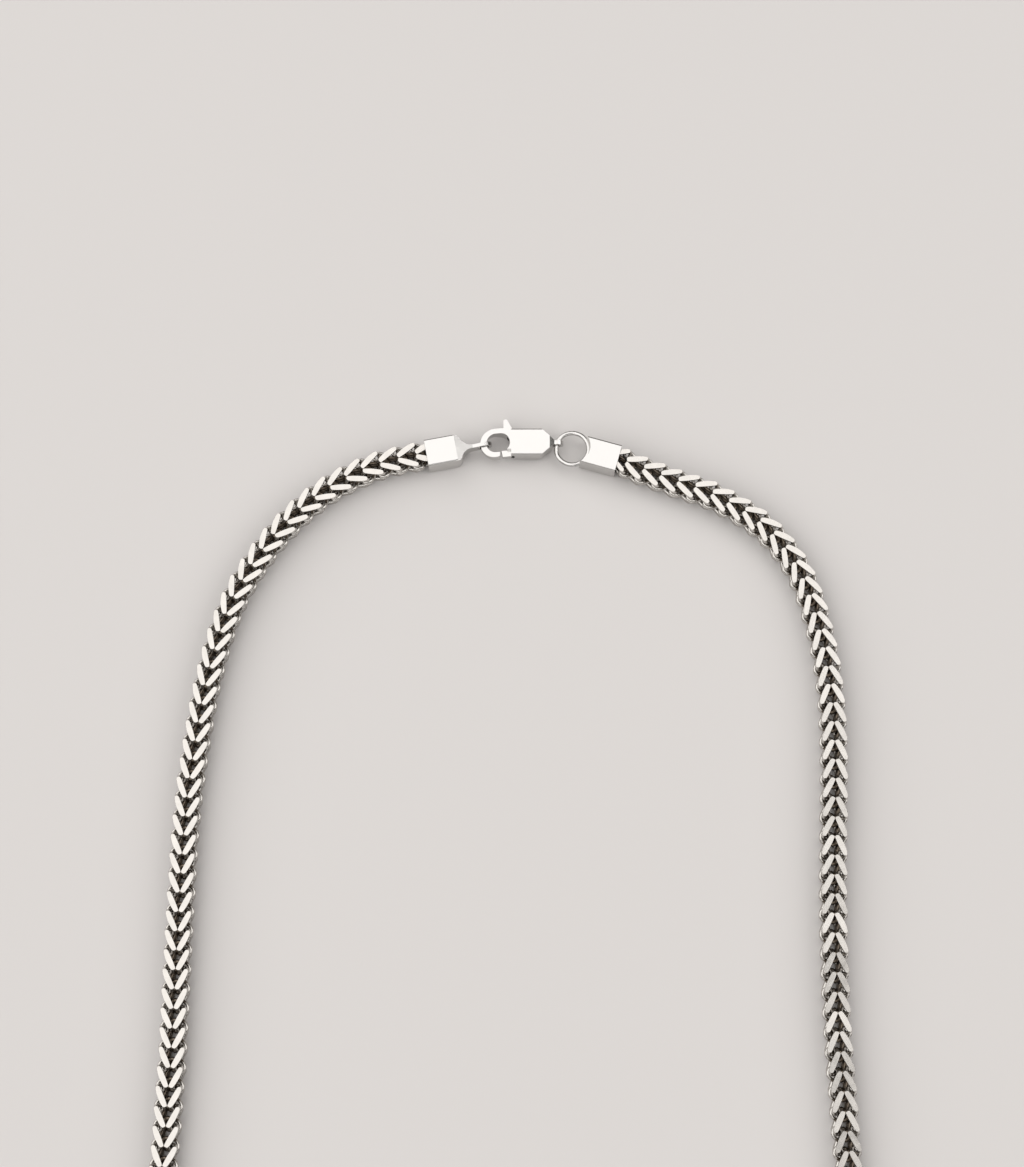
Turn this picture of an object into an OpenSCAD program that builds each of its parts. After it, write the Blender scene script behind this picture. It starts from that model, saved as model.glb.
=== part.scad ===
// Square franco chain necklace, lying flat and closed by a lobster clasp.
// Millimetres. X runs right, Y away from the viewer, Z up. The necklace rests on z = 0.

/* [Chain] */
// Width of the chain across its side rings
chain_w = 4.6; // [4.2:0.1:5.4]
// Height of the chain between its two cut faces
chain_h = 4.3; // [4:0.1:5]
// Width of the flat faces on top and underneath
chain_face_w = 3.7; // [3:0.1:4]
// Height of the side faces
chain_side_h = 2.4; // [1.8:0.1:3]
// Length of the last links that stand squeezed inside each cap
root_len = 3.4; // [2:0.1:3.8]
// Length over which the squeezed links swell to the full size
root_taper = 0.7; // [0.4:0.1:1.5]
// Gap between the two halves of the chain at the bottom
half_gap = 0.12; // [0.1:0.01:0.3]

/* [End caps] */
// Outer width and height of the square caps
cap_size = 4.8; // [4.4:0.1:5.2]
// Wall of the caps
cap_wall = 0.35; // [0.25:0.05:0.45]
// Radius of the long edges of the caps
cap_edge_r = 0.4; // [0.2:0.05:0.6]
// Depth of the sockets that take the chain
socket_depth = 4.2; // [3.8:0.1:4.6]
// Clearance between the squeezed links and the socket
root_clearance = 0.12; // [0.08:0.01:0.25]
// Length of the square part of the left cap
left_box_len = 5.1; // [4.8:0.1:8]
// Length of the left cap's shoulders
shoulder_len = 2.9; // [2.4:0.1:4]
// Radius of the rounded start of the shoulders
shoulder_r = 0.9; // [0.5:0.1:1.4]
// Step by which the shoulders start inside the square part
shoulder_step = 0.1; // [0.05:0.01:0.2]
// Length of the narrow tongue, up to the eye's centre
tongue_len = 1.9; // [1.6:0.1:4]
// Thickness of the tongue and of its eye
tongue_t = 0.6; // [0.5:0.05:0.8]
// Height of the tongue
tongue_h = 2.4; // [1.8:0.1:2.8]
// Length of the right cap, up to its corners beside the ring
right_box_len = 6.3; // [6:0.1:8]
// Distance from the right cap's mouth to the ring's centre
ring_reach = 8.1; // [7.9:0.1:9.5]

/* [Ring] */
// Outer diameter of the ring
ring_d = 6.4; // [5.8:0.1:7]
// Thickness of the ring's wire
ring_wire = 0.8; // [0.6:0.05:0.9]
// Depth to which the ring is soldered into the cap
solder = 0.15; // [0.1:0.01:0.3]

/* [Clasp] */
// Length of the clasp, from its hook to the centre of its tail eye
clasp_len = 13.1; // [12.6:0.1:16]
// Width of the clasp
clasp_w = 4.7; // [4.6:0.1:5.2]
// Thickness of the clasp's body
clasp_t = 3.3; // [2.9:0.1:3.8]
// Radius of the long edges of the body
clasp_edge_r = 0.4; // [0.2:0.05:0.6]
// Thickness of the hook where the left cap's eye hangs
hook_t = 1.5; // [1.2:0.1:1.7]
// Width of the hook where the left cap's eye hangs
hook_w = 1; // [0.8:0.05:1.1]
// Drop of the hook's belly below the body's centre line
hook_drop = 0.15; // [0:0.05:0.3]
// Distance from the hook's outer edge to the far side of its opening
hole_reach = 5.05; // [4.9:0.05:5.2]
// Height of the hook's opening
hole_h = 3.3; // [3:0.1:3.4]
// Length of the tapering tail
tail_len = 2.3; // [2:0.1:3]
// Length over which the tail keeps the body's full thickness
tail_flat_len = 1.5; // [1:0.1:1.8]
// Thickness of the tail and of its eye
tail_t = 0.7; // [0.5:0.05:0.9]
// Height of the tail
tail_h = 2.1; // [1.6:0.1:2.4]
// Wall of metal around each of the two small eyes
eye_wall = 0.45; // [0.35:0.05:0.6]
// Play of the hook and of the ring inside the eyes
eye_play = 0.12; // [0.1:0.01:0.25]

/* [Lever] */
// Thickness of the lever
lever_t = 1.2; // [0.9:0.1:1.4]
// Gap on each side of the lever in its slot
lever_gap = 0.1; // [0.08:0.01:0.15]
// Width of the lever's arm
lever_arm_w = 0.8; // [0.6:0.05:0.9]
// Radius of the lever's round hub
hub_r = 0.75; // [0.7:0.05:0.85]
// Radius of the pin that the lever turns on
pin_r = 0.4; // [0.3:0.05:0.45]
// Clearance around the pin
pin_clearance = 0.06; // [0.04:0.01:0.1]
// Gap between the lever's tip and the hook's tip
tip_gap = 0.22; // [0.2:0.01:0.35]
// Height to which the thumb tab stands above the body
tab_h = 1.8; // [1.2:0.1:2.4]
// Radius of the thumb tab's round tip
tab_r = 0.4; // [0.3:0.05:0.5]
// Angle through which the lever opens
lever_travel = 20; // [10:1:20]

/* [Lie] */
// Direction in which the left cap points at the clasp
left_turn = 10.8; // [5:0.1:15]
// Direction in which the right cap falls away from the ring
right_turn = -15.7; // [-20:0.1:-12]
// Angle at which the ring hangs on the clasp's tail
ring_turn = -19; // [-24:1:-14]

/* [Hidden] */
$fn = 48;
eps = 0.01;

// Places on the surface, before the whole is centred
clasp_at = [-5.4, 24];
mid_z = cap_size / 2;

// The hook, its wire and its opening, in the clasp's own axes
hook_r = clasp_w / 2 + hook_drop;
hook_c = [hook_r, -hook_drop];
hook_wire_at = [hook_w / 2, -2.5 * hook_drop];
hole_r = hole_h / 2;
hole_left = hook_w;
hook_tip_x = 3.4;
gap_x = 5.25;
gap_top = -1.3;

// Eyes are bored for what passes through them
hook_half_diagonal = norm([hook_w, hook_t]) / 2;
hook_eye_hole_r = hook_half_diagonal + eye_play;
hook_eye_r = hook_eye_hole_r + eye_wall;
tail_eye_hole_r = ring_wire / 2 / cos(ring_turn) + tail_t / 2 * tan(abs(ring_turn)) + eye_play;
tail_eye_r = tail_eye_hole_r + eye_wall;
body_len = clasp_len - eye_wall - tail_len;

// The lever, in the clasp's own axes
pivot = [6.1, -1.2];
tab_x = 4.3;
slot_t = lever_t + 2 * lever_gap;
tab_base = clasp_w / 2;
arm_top = [4.75, tab_base + lever_gap];
arm_lean = atan2(pivot[0] - arm_top[0], arm_top[1] - pivot[1]);
arm_len = norm(arm_top - pivot);
gate_tip_x = hook_tip_x + tip_gap;

// The two caps hang from the clasp
left_dir = [cos(left_turn), sin(left_turn)];
left_reach = left_box_len + shoulder_len + tongue_len;
left_mouth = clasp_at + hook_wire_at - left_reach * left_dir;
ring_r = (ring_d - ring_wire) / 2;
tail_eye_at = clasp_at + [clasp_len, 0];
ring_at = tail_eye_at + ring_r * [cos(ring_turn), sin(ring_turn)];
right_dir = [cos(right_turn), sin(right_turn)];
right_mouth = ring_at + ring_reach * right_dir;

// The squeezed links fit the sockets
socket_w = cap_size - 2 * cap_wall;
root_w = socket_w - 2 * root_clearance;
root_scale = root_w / chain_w;

// Route of the chain from each cap down to the bottom, chosen by hand. The last two
// points of each list run past the bottom, so that both halves leave it level.
left_points = [[-24, 19.4], [-33, 14.4], [-41, 6.3], [-47, -3.8], [-50.4, -15], [-52.5, -27],
    [-53.8, -39], [-54.4, -51], [-54.8, -64], [-55.1, -77], [-55.7, -90], [-56, -104],
    [-52.4, -126.5], [-40.4, -145.2], [-22.2, -157.6], [-1, -162], [20.2, -157.6]];
right_points = [[27, 17.4], [35.4, 13.9], [42.9, 8.9], [48.5, 1.5], [51.6, -8], [53.2, -18],
    [53.6, -29], [53.3, -40], [52.9, -52], [52.8, -64], [53.1, -77], [53.8, -90], [54, -104],
    [50.4, -126.5], [38.4, -145.2], [20.2, -157.6], [-1, -162], [-22.2, -157.6]];
rings_per_stretch = 2;
// Distance by which each route is led on straight into its cap
lead_in = 10;

function flat(p, z) = [p[0], p[1], z];

// A smooth curve through four points, at t between the second and the third
function through(a, b, c, d, t) = 0.5 * (2 * b + (c - a) * t
    + (2 * a - 5 * b + 4 * c - d) * t * t + (3 * b - a - 3 * c + d) * t * t * t);
function slope(a, b, c, d, t) = 0.5 * ((c - a) + 2 * (2 * a - 5 * b + 4 * c - d) * t
    + 3 * (3 * b - a - 3 * c + d) * t * t);
function unit(v) = v / norm(v);

// One ring of the tube: [centre, direction, share of the full section]
function route_rings(mouth, away, points) =
    let (start = mouth + root_taper * away,
         way = concat([start - lead_in * away, start], points),
         last = len(way) - 2)
    concat(
        [[flat(mouth - root_len * away, mid_z), away, root_scale],
         [flat(mouth + half_gap * away, mid_z), away, root_scale]],
        [for (i = [1 : last - 1], k = [0 : rings_per_stretch - 1])
            let (t = k / rings_per_stretch,
                 z = i == 1 && k == 0 ? mid_z : chain_h / 2)
            [flat(through(way[i - 1], way[i], way[i + 1], way[i + 2], t), z),
             unit(slope(way[i - 1], way[i], way[i + 1], way[i + 2], t)), 1]],
        [let (out = unit(way[last + 1] - way[last - 1]))
         [flat(way[last] - half_gap / 2 * out, chain_h / 2), out, 1]]);

left_rings = route_rings(left_mouth, -left_dir, left_points);
right_rings = route_rings(right_mouth, right_dir, right_points);

// The necklace is centred on the box that it fills
function column(rings, axis) = [for (r = rings) r[0][axis]];
all_x = concat(column(left_rings, 0), column(right_rings, 0));
all_y = concat(column(left_rings, 1), column(right_rings, 1));
top_y = clasp_at[1] + tab_base + tab_h;
centre_at = [(min(all_x) + max(all_x)) / 2, (min(all_y) - chain_w / 2 + top_y) / 2];

// Outline of the chain's section: flat above and below, its sides a little fuller
section = [[chain_w, -chain_side_h], [chain_w, chain_side_h], [chain_face_w, chain_h],
    [-chain_face_w, chain_h], [-chain_w, chain_side_h], [-chain_w, -chain_side_h],
    [-chain_face_w, -chain_h], [chain_face_w, -chain_h]] / 2;

// Sweeps the section along the rings as one closed solid
module tube(rings) {
    sides = len(section);
    count = len(rings);
    points = [for (r = rings, s = section)
        r[0] + r[2] * [-s[0] * r[1][1], s[0] * r[1][0], s[1]]];
    walls = [for (i = [0 : count - 2], j = [0 : sides - 1])
        let (a = i * sides + j, b = i * sides + (j + 1) % sides)
        each [[a, b + sides, b], [a, a + sides, b + sides]]];
    first = [for (j = [0 : sides - 1]) j];
    last = [for (j = [sides - 1 : -1 : 0]) (count - 1) * sides + j];
    polyhedron(points = points, faces = concat([first], walls, [last]), convexity = 8);
}

// A rectangle with round corners, centred
module round_rect(w, h, r) {
    square([w - 2 * r, h], center = true);
    square([w, h - 2 * r], center = true);
    for (x = [-1, 1], y = [-1, 1])
        translate([x * (w / 2 - r), y * (h / 2 - r)]) circle(r);
}

// A bar along +X from x = 0, with rounded long edges
module round_bar(length, w, h, r) {
    rotate([90, 0, 90]) linear_extrude(length) round_rect(w, h, r);
}

// Outline of a bar from x = 0 that narrows from w to t between x0 and x0 + length, through a
// round shoulder of radius r and a hollow curve that flows into the narrow end, up to x_end
module shoulders(w, t, x0, length, r, x_end) {
    drop = (w - t) / 2;
    both = (length * length + drop * drop) / (2 * drop);
    hollow_r = both - r;
    round_c = [x0, w / 2 - r];
    hollow_c = [x0 + length, t / 2 + hollow_r];
    meet = round_c + (hollow_c - round_c) * r / both;
    difference() {
        union() {
            translate([0, -w / 2]) square([x0, w]);
            for (side = [-1, 1]) {
                translate([round_c[0], side * round_c[1]]) circle(r);
                polygon([[x0 - eps, 0], [round_c[0] - eps, side * round_c[1]],
                    [meet[0], side * meet[1]], [x0 + length, side * t / 2],
                    [x0 + length, 0]]);
            }
            translate([x0, -t / 2]) square([x_end - x0, t]);
        }
        for (side = [-1, 1])
            translate([hollow_c[0], side * hollow_c[1]]) circle(hollow_r);
    }
}

// Outline of a bar from x = 0 to x_end that narrows straight from w to t between two places
module chamfered(w, t, from_x, to_x, x_end) {
    polygon([[0, -w / 2], [from_x, -w / 2], [to_x, -t / 2], [x_end, -t / 2],
        [x_end, t / 2], [to_x, t / 2], [from_x, w / 2], [0, w / 2]]);
}

// The socket that takes the squeezed links, cut from x = 0 inward
module socket() {
    translate([-eps, 0, 0])
        round_bar(socket_depth + eps, socket_w, socket_w, cap_edge_r / 2);
}

// A flat eye standing upright, its hole running along Y
module eye_disc(r, t) {
    rotate([90, 0, 0]) cylinder(r = r, h = t, center = true);
}

module chain_left() {
    color("silver") tube(left_rings);
}

module chain_right() {
    color("silver") tube(right_rings);
}

module end_cap_left() {
    tongue_end = left_reach;
    box_end = left_box_len - cap_wall;
    shoulder_end = left_box_len + shoulder_len;
    shoulder_h = cap_size - 2 * shoulder_step;
    side_points = [[box_end, shoulder_h / 2], [left_box_len, shoulder_h / 2],
        [shoulder_end, tongue_h / 2], [tongue_end, tongue_h / 2]];
    color("gainsboro")
    translate(flat(left_mouth, mid_z)) rotate(left_turn)
    difference() {
        union() {
            round_bar(left_box_len, cap_size, cap_size, cap_edge_r);
            intersection() {
                translate([0, 0, -cap_size])
                    linear_extrude(2 * cap_size)
                    shoulders(cap_size - 2 * shoulder_step, tongue_t, left_box_len,
                        shoulder_len, shoulder_r, tongue_end);
                rotate([90, 0, 0]) translate([0, 0, -cap_size])
                    linear_extrude(2 * cap_size)
                    for (side = [0, 1]) mirror([0, side])
                        polygon(concat([[tongue_end, -eps], [box_end, -eps]], side_points));
            }
            translate([tongue_end, 0, 0]) eye_disc(hook_eye_r, tongue_t);
        }
        socket();
        translate([tongue_end, 0, 0]) eye_disc(hook_eye_hole_r, 2 * tongue_t);
    }
}

module end_cap_right() {
    color("gainsboro")
    translate(flat(right_mouth, mid_z)) rotate(right_turn + 180) {
        difference() {
            round_bar(right_box_len, cap_size, cap_size, cap_edge_r);
            socket();
            translate([ring_reach, 0, -cap_size])
                cylinder(r = ring_d / 2 - solder, h = 2 * cap_size);
        }
        translate([ring_reach, 0, 0])
            rotate_extrude() translate([ring_r, 0]) circle(ring_wire / 2);
    }
}

// Outline of the whole clasp body from above
module clasp_outline() {
    difference() {
        union() {
            translate(hook_c) circle(hook_r);
            intersection() {
                chamfered(clasp_w, tail_t, body_len, body_len + tail_len, clasp_len);
                translate([hook_c[0], -clasp_w]) square([clasp_len, 2 * clasp_w]);
            }
        }
        for (x = [hole_left + hole_r, hole_reach - hole_r])
            translate([x, -hook_drop]) circle(hole_r);
        translate([hole_left + hole_r, -hook_drop - hole_r])
            square([hole_reach - 2 * hole_r - hole_left, hole_h]);
        polygon([[hook_tip_x, gap_top], [hook_tip_x - 0.2, -clasp_w], [gap_x, -clasp_w],
            [gap_x, gap_top]]);
    }
}

// Outline of the clasp body from the side: thin at the hook, full at the body
module clasp_side() {
    difference() {
        chamfered(clasp_t, tail_h, body_len + tail_flat_len, body_len + tail_len, clasp_len);
        for (side = [-1, 1])
            polygon([[-1, side * hook_t / 2], [hook_w + eye_play, side * hook_t / 2],
                [gap_x - 1, side * clasp_t / 2], [gap_x - 1, side * clasp_t],
                [-1, side * clasp_t]]);
    }
}

// The room in the body's mid plane that the lever turns in
module slot_outline() {
    side = lever_arm_w / 2 + lever_gap;
    top = arm_len + 1;
    translate(pivot) {
        circle(hub_r + lever_gap);
        polygon([[-side, 0], for (a = [arm_lean, arm_lean - lever_travel])
            top * [-sin(a), cos(a)] + (a == arm_lean ? -1.3 : 1.1) * side * [1.5, 0],
            [side, 0]]);
    }
    polygon([pivot + [0, -hub_r], [gap_x - 1, -clasp_w], [gap_x - 1, gap_top + 0.5],
        pivot + [0, hub_r / 2]]);
    polygon([pivot, [gap_x - 1, gap_top], [gap_x - 1, hook_r / 2], arm_top / 2 + pivot / 2]);
}

module clasp_body() {
    color("whitesmoke")
    translate(flat(clasp_at, mid_z)) {
        difference() {
            union() {
                intersection() {
                    translate([0, 0, -clasp_t]) linear_extrude(2 * clasp_t) clasp_outline();
                    rotate([90, 0, 0]) translate([0, 0, -clasp_w])
                        linear_extrude(2 * clasp_w) clasp_side();
                    union() {
                        translate([-1, -clasp_w, -clasp_t])
                            cube([gap_x + 1, 2 * clasp_w, 2 * clasp_t]);
                        translate([gap_x - eps, 0, 0])
                            round_bar(clasp_len, clasp_w, clasp_t, clasp_edge_r);
                    }
                }
                translate([clasp_len, 0, 0]) eye_disc(tail_eye_r, tail_t);
            }
            translate([clasp_len, 0, 0]) eye_disc(tail_eye_hole_r, 2 * tail_t);
            translate([0, 0, -slot_t / 2]) linear_extrude(slot_t) slot_outline();
        }
        translate(flat(pivot, -slot_t / 2 - eps)) cylinder(r = pin_r, h = slot_t + 2 * eps);
    }
}

// The lever: gate, hub, arm and thumb tab in one piece
module clasp_lever() {
    tab_tip = [tab_x, tab_base + tab_h - tab_r];
    color("white")
    translate(flat(clasp_at, mid_z - lever_t / 2))
    difference() {
        union() {
            translate(pivot) cylinder(r = hub_r, h = lever_t);
            translate(pivot) rotate(arm_lean)
                translate([-lever_arm_w / 2, 0, 0]) cube([lever_arm_w, arm_len, lever_t]);
            linear_extrude(lever_t) polygon([pivot + hub_r * [-0.2, -0.9], [gap_x, -clasp_w / 2],
                [gate_tip_x + tip_gap, -clasp_w / 2 - hook_drop],
                [gate_tip_x, gap_top - hook_drop],
                [gap_x, gap_top], pivot + hub_r * [-0.7, 0.5]]);
            linear_extrude(lever_t) polygon([arm_top + lever_arm_w * [0.9, 0],
                arm_top + lever_arm_w * [-1, 0], tab_tip + tab_r * [-0.95, 0.1],
                tab_tip + tab_r * [0.9, 0.4]]);
            translate(tab_tip) cylinder(r = tab_r, h = lever_t);
        }
        translate(flat(pivot, -eps))
            cylinder(r = pin_r + pin_clearance, h = lever_t + 2 * eps);
    }
}

translate(flat(-centre_at, 0)) {
    chain_left();
    chain_right();
    end_cap_left();
    end_cap_right();
    clasp_body();
    clasp_lever();
}
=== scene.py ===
# %% [markdown]
# # A franco chain necklace in polished steel
#
# The necklace lies closed on a pale surface. Its chain is a franco weave: V-shaped steel links
# stand behind each other in two layers, and the whole chain is then cut flat on its faces, which
# gives the bright bars. Two square caps hold its ends, and a lobster clasp joins the caps.
#
# The caps, the ring and the clasp come from the imported CAD part, and the caps and the clasp only
# get their finish here.
# The chain's links are made here, because there are far too many of them for the CAD part. It has
# two plain tubes in their place, and the links take the place of the tubes.

import math
import random
from bisect import bisect_right

import bmesh
import bpy
from mathutils import Matrix, Vector


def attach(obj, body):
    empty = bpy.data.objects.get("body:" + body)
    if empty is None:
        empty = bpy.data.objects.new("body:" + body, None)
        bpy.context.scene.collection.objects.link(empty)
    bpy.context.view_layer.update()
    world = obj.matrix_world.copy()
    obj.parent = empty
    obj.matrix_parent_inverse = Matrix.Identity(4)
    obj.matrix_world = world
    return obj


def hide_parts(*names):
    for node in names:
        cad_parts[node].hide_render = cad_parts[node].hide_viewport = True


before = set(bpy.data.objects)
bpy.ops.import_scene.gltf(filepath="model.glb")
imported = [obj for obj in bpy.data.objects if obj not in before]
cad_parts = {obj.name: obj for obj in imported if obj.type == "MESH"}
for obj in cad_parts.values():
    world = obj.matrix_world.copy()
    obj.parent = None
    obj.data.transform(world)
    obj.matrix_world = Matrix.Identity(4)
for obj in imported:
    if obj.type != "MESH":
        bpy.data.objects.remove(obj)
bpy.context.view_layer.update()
print("packed pieces:", sorted(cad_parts))

# %% [markdown]
# ## The chain's route
#
# A jeweller lays the chain down by hand, so its line is free. It follows the same points as the
# CAD part's tubes: from the left cap down, round the bottom and up to the right cap. Blender could
# draw such a line as a curve, but each link has to know how far along the chain it stands. So a
# smooth curve through the points is walked here in small steps, and each step remembers its
# distance from the left cap.

# %% Set the points of the route
# In millimetres, from a point about 2 cm in front of the clasp. The two mouths are where the
# chain enters its caps. The last point of each list lies beyond the bottom of the loop, and only
# steers the curve.
LEFT_MOUTH = Vector((-14.6246, 21.7699))
RIGHT_MOUTH = Vector((18.1453, 20.8965))
LEFT_POINTS = [
    (-24, 19.4), (-33, 14.4), (-41, 6.3), (-47, -3.8), (-50.4, -15), (-52.5, -27),
    (-53.8, -39), (-54.4, -51), (-54.8, -64), (-55.1, -77), (-55.7, -90), (-56, -104),
    (-52.4, -126.5), (-40.4, -145.2), (-22.2, -157.6), (-1, -162), (20.2, -157.6),
]
RIGHT_POINTS = [
    (27, 17.4), (35.4, 13.9), (42.9, 8.9), (48.5, 1.5), (51.6, -8), (53.2, -18), (53.6, -29),
    (53.3, -40), (52.9, -52), (52.8, -64), (53.1, -77), (53.8, -90), (54, -104),
    (50.4, -126.5), (38.4, -145.2), (20.2, -157.6), (-1, -162), (-22.2, -157.6),
]
LEFT_TURN = math.radians(10.8)  # how the caps are turned on the surface
RIGHT_TURN = math.radians(-15.7)
left_away = -Vector((math.cos(LEFT_TURN), math.sin(LEFT_TURN)))  # away from the clasp
right_away = Vector((math.cos(RIGHT_TURN), math.sin(RIGHT_TURN)))
print(f"the two ends of the chain lie {(RIGHT_MOUTH - LEFT_MOUTH).length:.1f} mm apart")

# %% Walk the route from cap to cap
SHIFT = Vector((0.971875, 68.075))  # from where the points are counted to the part's own origin
RUN_UP = 10  # a point this far behind the start steers the curve straight out of the cap
CAP_TAPER = 0.7  # the chain swells to its full size over this length
IN_CAP = 4.1  # how deep the route reaches into a cap
STEPS = 24  # from one point of the route to the next


def through(a, b, c, d, t):
    """A smooth curve through four points, at t between the second and the third."""
    return 0.5 * (2 * b + (c - a) * t + (2 * a - 5 * b + 4 * c - d) * t * t
                  + (3 * b - a - 3 * c + d) * t**3)


def half_route(mouth, away, points):
    """Half of the route, from inside a cap to the bottom of the loop."""
    start = mouth + CAP_TAPER * away
    way = [start - RUN_UP * away, start] + [Vector(p) for p in points]
    line = [mouth - IN_CAP * away, mouth]
    for i in range(1, len(way) - 2):
        line += [through(*way[i - 1 : i + 3], k / STEPS) for k in range(STEPS)]
    return line + [way[-2]]


route = half_route(LEFT_MOUTH, left_away, LEFT_POINTS)
route += half_route(RIGHT_MOUTH, right_away, RIGHT_POINTS)[-2::-1]
route = [p + SHIFT for p in route]
reached = [-IN_CAP]
for near, far in zip(route, route[1:]):
    reached.append(reached[-1] + (far - near).length)
chain_length = reached[-1] - IN_CAP
print(f"chain between the caps: {chain_length:.1f} mm in {len(route) - 1} steps")

# %% [markdown]
# ## A place on the chain
#
# A link is drawn once, on a straight chain, and then bent along the route. A Curve modifier could
# bend it, but the real chain also does a few things of its own: the caps squeeze its ends and hold
# them a little higher, it leans outward all round, and beside the right cap it lies further
# inward. So a small function does it all. It takes a point of the straight chain and gives its
# place on the surface.

# %% Bend the straight chain along its route
MM = 0.001
CAP_SQUEEZE = 0.839  # the chain's size in a cap, as a share of its full size
CAP_MID = 2.4  # the middle of a cap above the surface
CHAIN_MID = 2.15  # the middle of the chain above the surface
LEAN = 0.1  # how far the chain leans outward, as a share of its height
LEAN_FROM = -0.5  # what lies lower than this doesn't lean further
SAG = 0.5  # beside the right cap the chain lies nearly this far inward
SAG_FROM = 3  # furthest at this distance from the cap
SAG_TO = 17  # and from this distance on no longer

strides = [(far - near).normalized() for near, far in zip(route, route[1:])]
reaching = [strides[0]] + strides
leaving = strides + [strides[-1]]
directions = [(a + b).normalized() for a, b in zip(reaching, leaving)]


def place(along, across, up):
    """The point of the chain that far along it, across it and above its middle, in metres."""
    i = min(max(bisect_right(reached, along) - 1, 0), len(route) - 2)
    t = (along - reached[i]) / (reached[i + 1] - reached[i])
    at = route[i].lerp(route[i + 1], t)
    ahead = directions[i].lerp(directions[i + 1], t).normalized()
    outward = Vector((ahead.y, -ahead.x))
    from_cap = min(along, chain_length - along)
    swell = min(max(from_cap / CAP_TAPER, 0.0), 1.0)
    size = CAP_SQUEEZE + (1 - CAP_SQUEEZE) * swell
    middle = CAP_MID + (CHAIN_MID - CAP_MID) * swell
    from_right_cap = max(chain_length - along, 0)
    sag = SAG * min(from_right_cap / SAG_FROM, 1) * max(1 - from_right_cap / SAG_TO, 0)
    across += LEAN * max(up, LEAN_FROM) - sag
    at = at + outward * across * size
    height = max(middle + up * size, 0)  # nothing dips below the surface
    return Vector((at.x, at.y, height)) * MM


half_way = place(chain_length / 2, 0, 0) / MM
print(f"half way along, the chain is at x {half_way.x:.1f}, y {half_way.y:.1f} mm")

# %% [markdown]
# ## One link
#
# Each link is a closed ring of wire that is folded into a V. Its two lobes stand on the upper
# corners of the square chain, and its middle, where two strands run side by side, passes through
# both lobes of the link behind it. The wire could be extruded and turned ring by ring, but a curve
# with a round bevel needs only its path: one lobe and its mirror image. The wire is thick where
# the strand lies at the surface and thinner inside.

# %% Draw the wire of one link
# Along the chain, across it, above its middle, radius of the wire
LOBE = [
    (-3.10, 0.00, 0.55, 0.52),
    (-3.25, 0.70, 0.80, 0.46),
    (-3.38, 1.40, 1.10, 0.44),
    (-3.20, 1.84, 1.52, 0.46),
    (-2.82, 1.80, 1.90, 0.52),
    (-1.50, 1.10, 1.98, 0.56),
    (-0.15, 0.44, 1.92, 0.53),
    (0.48, 0.62, 1.30, 0.38),
    (0.88, 1.22, 0.84, 0.35),
    (0.78, 1.80, 0.82, 0.34),
    (0.18, 2.15, 0.86, 0.34),
    (-0.45, 2.10, 0.80, 0.34),
    (-0.95, 1.72, 0.58, 0.36),
    (-1.20, 1.05, 0.42, 0.38),
    (-2.90, 0.64, 0.42, 0.42),
    (-4.30, 0.64, 0.45, 0.46),
    (-4.55, 0.00, 0.50, 0.52),
]
# The two layers nearly touch in the middle of the chain, so the lower links turn further ahead
LOWER_START = (-2.30, 0.00, 0.55, 0.52)
LOWER_END = (-3.75, 0.00, 0.50, 0.52)


def wire_of(lobe):
    """The link's whole ring as a curve, turned into a mesh with six faces round the wire."""
    ring = lobe + [(a, -x, z, r) for a, x, z, r in reversed(lobe[1:-1])]
    path = bpy.data.curves.new("link_wire", "CURVE")
    path.dimensions = "3D"
    path.bevel_depth = 1.0  # the radius of each point is then the wire's own
    path.bevel_resolution = 1
    line = path.splines.new("POLY")
    line.points.add(len(ring) - 1)
    for point, (a, x, z, r) in zip(line.points, ring):
        point.co = (a, x, z, 1)
        point.radius = r
    line.use_cyclic_u = True
    drawn = bpy.data.objects.new("link_wire", path)
    mesh = bpy.data.meshes.new_from_object(drawn)
    bpy.data.objects.remove(drawn)
    bpy.data.curves.remove(path)
    return mesh


upper_wire = wire_of(LOBE)
lower_wire = wire_of([LOWER_START, *LOBE[1:-1], LOWER_END])
print("faces of the wire:", len(upper_wire.polygons))

# %% [markdown]
# ## The cut faces
#
# After weaving, the chain is ground and cut flat with a diamond tool, which takes the round back
# off the strands at the surface. A boolean with a block could do the same, but one plane is
# enough: what stands above it is cut away, the hole is closed with one flat face, and its rim is
# kept sharp.
#
# The faces deep in the weave are marked for a darker steel, which is painted shade: hardly any
# light reaches them there. The links of the lower layer are turned upside down and a little
# narrower, so that they don't stand out from under the upper ones.


# %% Cut the wire flat
def cut_flat(bm, height):
    """Cuts the wire flat at that height with a sharp rim, and returns the new faces."""
    sharp = bm.edges.layers.float.new("crease_edge")
    bmesh.ops.bisect_plane(bm, geom=bm.verts[:] + bm.edges[:] + bm.faces[:], dist=1e-5,
                           plane_co=(0, 0, height), plane_no=(0, 0, 1), clear_outer=True)
    rim = [e for e in bm.edges if e.is_boundary]
    for e in rim:
        e[sharp] = 1.0
        e.smooth = False
    print("the plane leaves", len(rim), "sharp edges")
    return bmesh.ops.holes_fill(bm, edges=rim, sides=0)["faces"]


# %% Finish an upper and a lower link
WELD = 1e-4  # corners closer than this become one
FACE_UP = 2.15  # the flat faces above the chain's middle
# faces within these limits lie deep in the weave and get the dark steel as painted shade
PAINTED_SHADE_WIDTH = 1.5  # a face is deep in the weave if it is nearer than this to the chain's middle
PAINTED_SHADE_HEIGHT = 1.3  # across it, and nearer than this up or down
UPPER_SCALE = (1, 1, 1)
LOWER_SCALE = (1, 0.86, -1)


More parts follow.
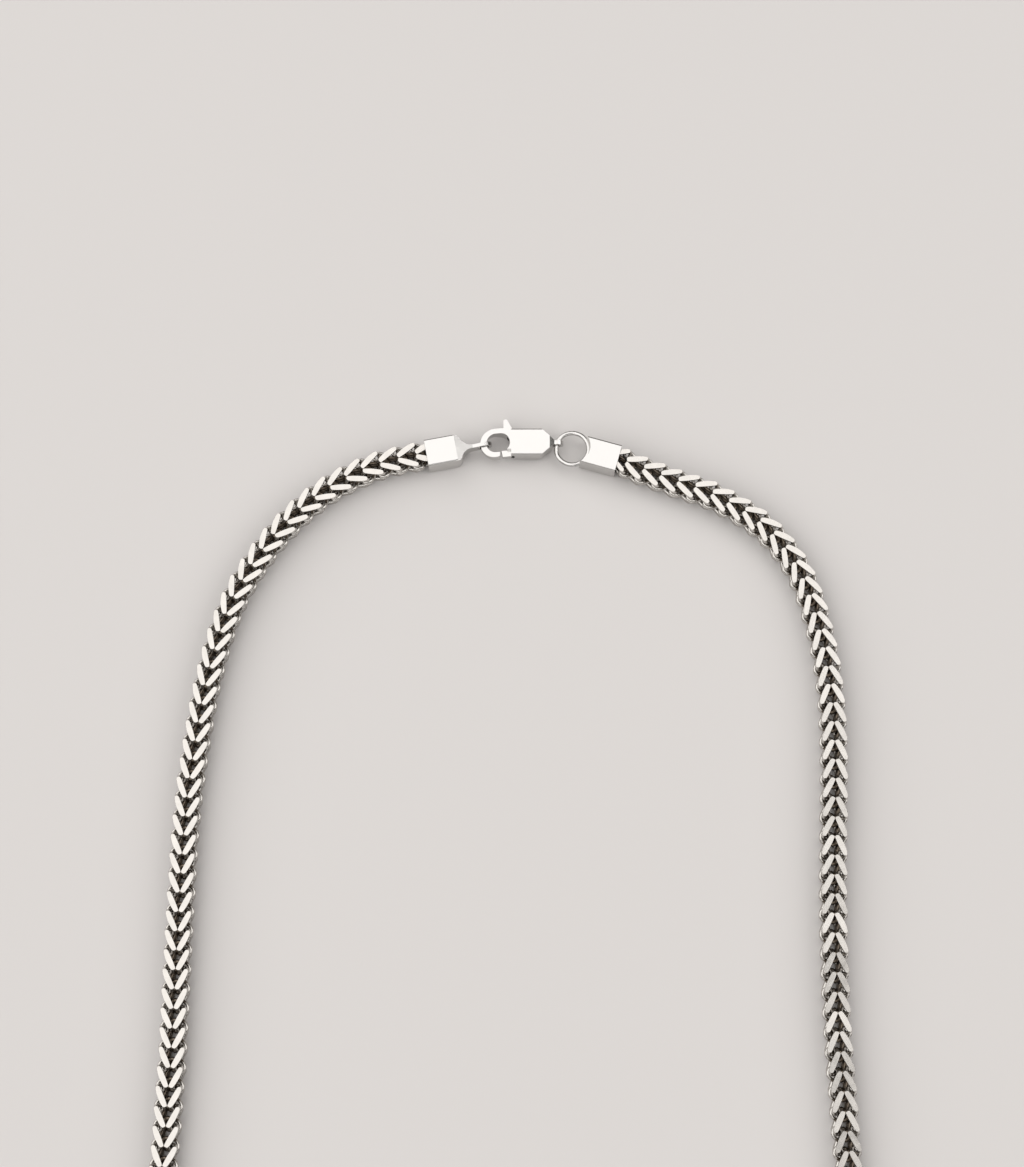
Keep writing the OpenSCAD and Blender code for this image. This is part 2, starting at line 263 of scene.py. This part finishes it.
def finished_link(name, wire, scale):
    """A link with its flat faces, its inner strands marked for the dark steel of the painted shade.
    """
    bm = bmesh.new()
    bm.from_mesh(wire)
    bmesh.ops.remove_doubles(bm, verts=bm.verts, dist=WELD)
    flats = cut_flat(bm, FACE_UP)
    for f in bm.faces:
        at = f.calc_center_median()
        f.smooth = f not in flats
        # faces deep in the weave get material 1, the dark steel that paints the shade there
        f.material_index = int(abs(at.y) < PAINTED_SHADE_WIDTH and abs(at.z) < PAINTED_SHADE_HEIGHT)
    bmesh.ops.scale(bm, vec=scale, verts=bm.verts)
    bmesh.ops.recalc_face_normals(bm, faces=bm.faces)
    if bm.calc_volume(signed=True) < 0:
        bmesh.ops.reverse_faces(bm, faces=bm.faces[:])
    link = bpy.data.meshes.new(name)
    bm.to_mesh(link)
    print(name, "has", len(bm.faces), "faces")
    bm.free()
    return link


upper_link = finished_link("upper_link", upper_wire, UPPER_SCALE)
lower_link = finished_link("lower_link", lower_wire, LOWER_SCALE)

# %% [markdown]
# ## The woven chain
#
# In each pitch of the chain stand one link above and one turned upside down below. An Array
# modifier could repeat them, but then every link would be the same. Here all are copies of the
# two links that were just made, each bent with the route, and each leans by a degree or so,
# because a real chain is never quite even. The chain is also stretched a little on the right
# side. A subdivision rounds the wire.

# %% Find where each link stands
PITCH = 3.147  # from one link to the next
FIRST = 1.65  # how far from the left cap the first link stands
LINKS = 149  # in each of the two layers
STRETCH = 0.85  # where the chain is stretched most, its links are moved on by this
STRETCH_FROM = 330  # the stretching begins this far along the chain
STRETCH_MOST = 405  # is greatest here
STRETCH_TO = 463  # and ends here


def station(k):
    """How far along the chain link k stands."""
    along = FIRST + k * PITCH
    if along < STRETCH_FROM or along > STRETCH_TO:
        return along
    if along < STRETCH_MOST:
        rise = (along - STRETCH_FROM) / (STRETCH_MOST - STRETCH_FROM)
    else:
        rise = (STRETCH_TO - along) / (STRETCH_TO - STRETCH_MOST)
    return along + STRETCH * (3 - 2 * rise) * rise * rise


print(f"the links stand from {station(0):.1f} to {station(LINKS - 1):.1f} mm along the chain")

# %% Weave the chain
SECTIONS = 4  # the chain is made in this many pieces
ROLL = 0.8  # usual lean of a link to a side, in degrees
NOD = 0.6  # and forward or back
chance = random.Random(7)


def weave(name, first, last):
    """One stretch of the chain, from one link to another, as a single piece."""
    bm = bmesh.new()
    for k in range(first, last):
        stands_at = station(k)
        for link in (upper_link, lower_link):
            before = len(bm.verts)
            bm.from_mesh(link)
            bm.verts.ensure_lookup_table()
            lean = (Matrix.Rotation(math.radians(chance.gauss(0, ROLL)), 3, "X")
                    @ Matrix.Rotation(math.radians(chance.gauss(0, NOD)), 3, "Y"))
            for v in bm.verts[before:]:
                p = lean @ v.co
                v.co = place(stands_at + p.x, p.y, p.z)
    # Across runs to the right of the way, so placing a link mirrors it, and its faces turn inward
    bmesh.ops.reverse_faces(bm, faces=bm.faces[:])
    mesh = bpy.data.meshes.new(name)
    bm.to_mesh(mesh)
    bm.free()
    piece = bpy.data.objects.new(name, mesh)
    bpy.context.collection.objects.link(piece)
    rounding = piece.modifiers.new("round wire", "SUBSURF")
    rounding.levels = rounding.render_levels = 1
    return piece


chain = []
for n in range(SECTIONS):
    first, last = LINKS * n // SECTIONS, LINKS * (n + 1) // SECTIONS
    chain.append(weave(f"links_{n + 1}", first, last))
    print(chain[-1].name, "has", last - first, "pitches and", len(chain[-1].data.polygons), "faces")

# %% [markdown]
# ## Steel finishes
#
# Everything is polished steel. The caps and the clasp are nearly mirrors with faint polishing
# lines along their length. The chain is tumbled, so it is a little softer, with a fine even
# grain, and deep in the weave it gets a darker copy of its steel as painted shade. A picture of
# steel could be laid on the pieces, but noise that reads Object coordinates has the same size on
# all of them.

# %% Build the nodes of a steel
STEEL_IOR = 2.5
GRAIN = 1500  # scale of the noise for lines and grain
GRAIN_DETAIL = 3
GRAIN_DEPTH = 0.000004  # in metres
SPOTS = 700  # scale of the noise for the duller spots


def steel(name, colour, dull, rough, haze, line_scale, line_depth):
    """Polished steel with fine polishing lines, duller in spots in tone and gloss."""
    material = bpy.data.materials.new(name)
    material.use_nodes = True
    tree = material.node_tree
    shader = tree.nodes["Principled BSDF"]
    shader.inputs["Metallic"].default_value = 1.0
    shader.inputs["IOR"].default_value = STEEL_IOR
    spot = tree.nodes.new("ShaderNodeTexCoord")
    stretch = tree.nodes.new("ShaderNodeMapping")
    stretch.inputs["Scale"].default_value = line_scale
    lines = tree.nodes.new("ShaderNodeTexNoise")
    lines.inputs["Scale"].default_value = GRAIN
    lines.inputs["Detail"].default_value = GRAIN_DETAIL
    bump = tree.nodes.new("ShaderNodeBump")
    bump.inputs["Strength"].default_value = line_depth
    bump.inputs["Distance"].default_value = GRAIN_DEPTH
    cloud = tree.nodes.new("ShaderNodeTexNoise")
    cloud.inputs["Scale"].default_value = SPOTS
    tone = tree.nodes.new("ShaderNodeMix")
    tone.data_type = "RGBA"
    tone.inputs["A"].default_value = (*[c * dull for c in colour], 1)
    tone.inputs["B"].default_value = (*colour, 1)
    gloss = tree.nodes.new("ShaderNodeMapRange")
    gloss.inputs["To Min"].default_value = rough
    gloss.inputs["To Max"].default_value = rough + haze
    tree.links.new(spot.outputs["Object"], stretch.inputs["Vector"])
    tree.links.new(stretch.outputs["Vector"], lines.inputs["Vector"])
    tree.links.new(lines.outputs["Fac"], bump.inputs["Height"])
    tree.links.new(bump.outputs["Normal"], shader.inputs["Normal"])
    tree.links.new(spot.outputs["Object"], cloud.inputs["Vector"])
    tree.links.new(cloud.outputs["Fac"], tone.inputs["Factor"])
    tree.links.new(tone.outputs["Result"], shader.inputs["Base Color"])
    tree.links.new(cloud.outputs["Fac"], gloss.inputs["Value"])
    tree.links.new(gloss.outputs["Result"], shader.inputs["Roughness"])
    print("mixed", name)
    return material


# %% Mix the four steels
EVEN = (1, 1, 1)  # tumbled wire has no lines, only fine grain
LENGTHWISE = (0.3, 4, 1)  # caps and clasp are polished along their length
MIRROR_STEEL = (0.63, 0.62, 0.605)
link_steel = steel("polished_link_steel", (0.66, 0.635, 0.60), dull=0.75, rough=0.18,
                   haze=0.14, line_scale=EVEN, line_depth=0.15)
# Painted shade: a dark copy of the link steel for the faces deep in the weave, where little light
# reaches
painted_shade_steel = steel("painted_shade_inside_the_weave", (0.17, 0.14, 0.11), dull=0.75, rough=0.22,
                     haze=0.15, line_scale=EVEN, line_depth=0.15)
cap_steel = steel("mirror_steel_of_the_caps", MIRROR_STEEL, dull=0.94, rough=0.12,
                  haze=0.14, line_scale=LENGTHWISE, line_depth=0.3)
clasp_steel = steel("mirror_steel_of_the_clasp", MIRROR_STEEL, dull=0.94, rough=0.10,
                    haze=0.14, line_scale=LENGTHWISE, line_depth=0.3)

# %% Finish the links and put them in the tubes' place
for piece in chain:
    piece.data.materials.append(link_steel)
    # the second slot holds the painted shade for the faces deep in the weave
    piece.data.materials.append(painted_shade_steel)
    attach(piece, "necklace")
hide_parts("chain_left")
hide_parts("chain_left")
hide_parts("chain_right")
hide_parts("chain_right")
print("in the tubes' place:", [piece.name for piece in chain])


# %% Finish the caps and the clasp
def finish_with(node, material):
    """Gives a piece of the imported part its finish, in all its material slots."""
    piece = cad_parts[node]
    for slot in piece.material_slots:
        slot.material = material
    print(node, "is finished in", material.name)


finish_with("end_cap_left", cap_steel)
finish_with("end_cap_right", cap_steel)
finish_with("clasp_body", clasp_steel)
finish_with("clasp_lever", clasp_steel)

# %% [markdown]
# ## Surface, light and camera
#
# The necklace lies on a plain pale surface. Polished steel shows only what it mirrors, so a large
# soft light hangs above the necklace on its left: the faces that point up mirror it and turn
# white, a little less so on the right side, while the pockets see the dim room and stay dark.
# Two weaker lights, at the right and in front, draw the fine highlights on the round wire. A
# photographed surrounding could light the scene too, but three lights can be moved one by one.

# %% Lay the pale surface
SURFACE_SIZE = 6  # in metres, so that no edge of it shows
PAPER = (0.61, 0.59, 0.577, 1)
bpy.ops.mesh.primitive_plane_add(size=SURFACE_SIZE, location=(0, 0, 0))
surface = bpy.context.object
surface.name = "pale_surface"
paper = bpy.data.materials.new("pale_surface")
paper.use_nodes = True
paper.node_tree.nodes["Principled BSDF"].inputs["Base Color"].default_value = PAPER
paper.node_tree.nodes["Principled BSDF"].inputs["Roughness"].default_value = 0.9
surface.data.materials.append(paper)
print("laid", surface.name)

# %% Hang the lights
WARM_WHITE = (1.0, 0.985, 0.975)
NECKLACE_MIDDLE = Vector((0, 0.05, 0))


def soft_light(name, at, size, watts):
    """A rectangular soft light that looks at the middle of the necklace."""
    light = bpy.data.lights.new(name, "AREA")
    light.shape = "RECTANGLE"
    light.size, light.size_y = size
    light.energy = watts
    light.color = WARM_WHITE
    lamp = bpy.data.objects.new(name, light)
    lamp.location = at
    lamp.rotation_euler = (NECKLACE_MIDDLE - Vector(at)).to_track_quat("-Z", "Y").to_euler()
    bpy.context.collection.objects.link(lamp)
    print(name, "gives", watts, "W")


soft_light("overhead_soft_light", at=(-0.59, 0.25, 0.95), size=(2.6, 2.2), watts=28.5)
soft_light("side_soft_light", at=(0.75, 0.10, 0.75), size=(0.9, 1.0), watts=5)
soft_light("front_soft_light", at=(0.10, -0.95, 0.70), size=(1.4, 0.6), watts=2.6)

# %% Dim the room
ROOM_COLOUR = (0.20, 0.19, 0.175, 1)
ROOM_STRENGTH = 0.4
room = bpy.data.worlds.new("dim_room")
bpy.context.scene.world = room
room.use_nodes = True
room.node_tree.nodes["Background"].inputs["Color"].default_value = ROOM_COLOUR
room.node_tree.nodes["Background"].inputs["Strength"].default_value = ROOM_STRENGTH
print("dimmed", room.name)

# %% Set the camera
CAMERA_AT = (0.000972, -0.0198, 0.4172)
LOOKS_AT = Vector((0.000972, 0.068075, 0))
lens = bpy.data.cameras.new("camera")
lens.lens = 77.12
lens.sensor_width = 36
lens.sensor_fit = "AUTO"
lens.clip_start, lens.clip_end = 0.01, 20
camera = bpy.data.objects.new("camera", lens)
camera.location = CAMERA_AT
camera.rotation_euler = (LOOKS_AT - camera.location).to_track_quat("-Z", "Y").to_euler()
bpy.context.collection.objects.link(camera)
bpy.context.scene.camera = camera
bpy.context.scene.view_settings.view_transform = "Standard"
print(f"the camera looks from {(LOOKS_AT - camera.location).length * 1000:.0f} mm away")
